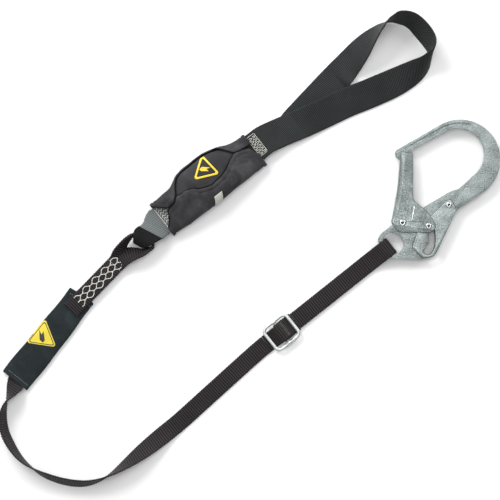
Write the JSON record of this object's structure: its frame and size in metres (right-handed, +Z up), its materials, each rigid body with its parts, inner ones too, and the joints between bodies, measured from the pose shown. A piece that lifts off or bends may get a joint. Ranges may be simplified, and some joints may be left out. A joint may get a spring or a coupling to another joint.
{
  "type": "shock absorbing lanyard",
  "caption": "Fall protection lanyard laid flat: webbing choke loop, cloth-covered tear-web shock pack, adjustable leg strap with slide adjuster, and a large self-locking hook with lock lever",
  "frame": {"origin": "bottom centre of the laid-out lanyard without its free leg strap, on the surface that it lies on", "axes": "+Z up off the surface, +X along the layout from the label sleeve to the hook, +Y towards the choke loop"},
  "size_m": [0.6997, 0.6645, 0.0434],
  "materials": {
    "choke_webbing": "matte",
    "grey_webbing": "matte",
    "leg_webbing": "matte",
    "cover_cloth": "matte",
    "pouch_cloth": "matte",
    "sleeve_cloth": "matte",
    "wear_cloth": "matte",
    "tear_web": "matte",
    "thread": "matte",
    "tape": "matte",
    "sign_yellow": "matte",
    "sign_dark": "matte",
    "label": "matte",
    "plated_steel": "satin",
    "rivet_steel": "polished",
    "spring_steel": "satin"
  },
  "bodies": {
    "lanyard": {"choke_loop": "choke_webbing", "choke_stitching": "thread", "absorber_web": "grey_webbing", "absorber_stitching": "thread", "tear_pack": "tear_web", "wear_sleeve": "wear_cloth", "inner_pouch": "pouch_cloth", "cover_back": "cover_cloth", "loop_tape": "tape", "pouch_sign": "sign_yellow", "pouch_bolt": "sign_yellow", "eye_loop": "leg_webbing", "eye_stitching": "thread", "strap_tail": "leg_webbing", "sleeve_strap": "leg_webbing", "label_sleeve": "sleeve_cloth", "sleeve_stitching": "thread", "sleeve_sign": "sign_yellow", "sleeve_bolt": "sign_dark", "label_booklet": "label", "leg_strap": "leg_webbing", "running_strap": "leg_webbing", "return_strap": "leg_webbing", "hook_strap": "leg_webbing"},
    "cover_flap": {"cover_flap": "cover_cloth", "hook_tape": "tape", "care_tag": "label"},
    "adjuster_bar": {"adjuster_bar": "plated_steel", "bar_bight": "leg_webbing", "bar_wrap": "leg_webbing", "bar_stitching": "thread"},
    "adjuster_frame": {"adjuster_frame": "plated_steel"},
    "hook": {"hook_body": "plated_steel", "gate_rivet": "rivet_steel", "gate_spacers": "plated_steel", "gate_spring": "spring_steel", "lever_rivet": "rivet_steel", "lever_spring": "spring_steel"},
    "gate": {"gate": "plated_steel", "lock_rivet": "rivet_steel"},
    "lever": {"lock_lever": "plated_steel"}
  },
  "joints": [
    {"name": "cover_open", "type": "hinge", "parent": "lanyard", "child": "cover_flap", "pos_m": [-0.04575, 0.00583, 0.0034], "axis": [0.7826, 0.6225, 0], "range_deg": [0, 80]},
    {"name": "adjuster_slide", "type": "slide", "parent": "lanyard", "child": "adjuster_bar", "axis": [0.7826, 0.6225, 0], "range_m": [-0.06, 0.08], "deforming": ["leg_strap", "running_strap", "return_strap"]},
    {"name": "frame_slide", "type": "slide", "parent": "adjuster_bar", "child": "adjuster_frame", "axis": [0.7826, 0.6225, 0], "range_m": [-0.0025, 0.0025]},
    {"name": "hook_swing", "type": "hinge", "parent": "lanyard", "child": "hook", "pos_m": [0.18991, -0.06434, 0.01], "axis": [0.6225, -0.7826, 0], "range_deg": [-75, 75]},
    {"name": "gate_swing", "type": "hinge", "parent": "hook", "child": "gate", "pos_m": [0.21065, -0.02913, 0.01], "axis": [0, 0, -1], "range_deg": [0, 38], "stiffness_Nm_per_rad": 0.5, "springref_deg": -45.84},
    {"name": "lever_squeeze", "type": "hinge", "parent": "hook", "child": "lever", "pos_m": [0.27545, -0.00413, 0.01], "axis": [0, 0, -1], "range_deg": [0, 15.5]}
  ],
  "couplings": [
    {"joint": "lever_squeeze", "follows": "gate_swing", "ratio": 0.4}
  ]
}
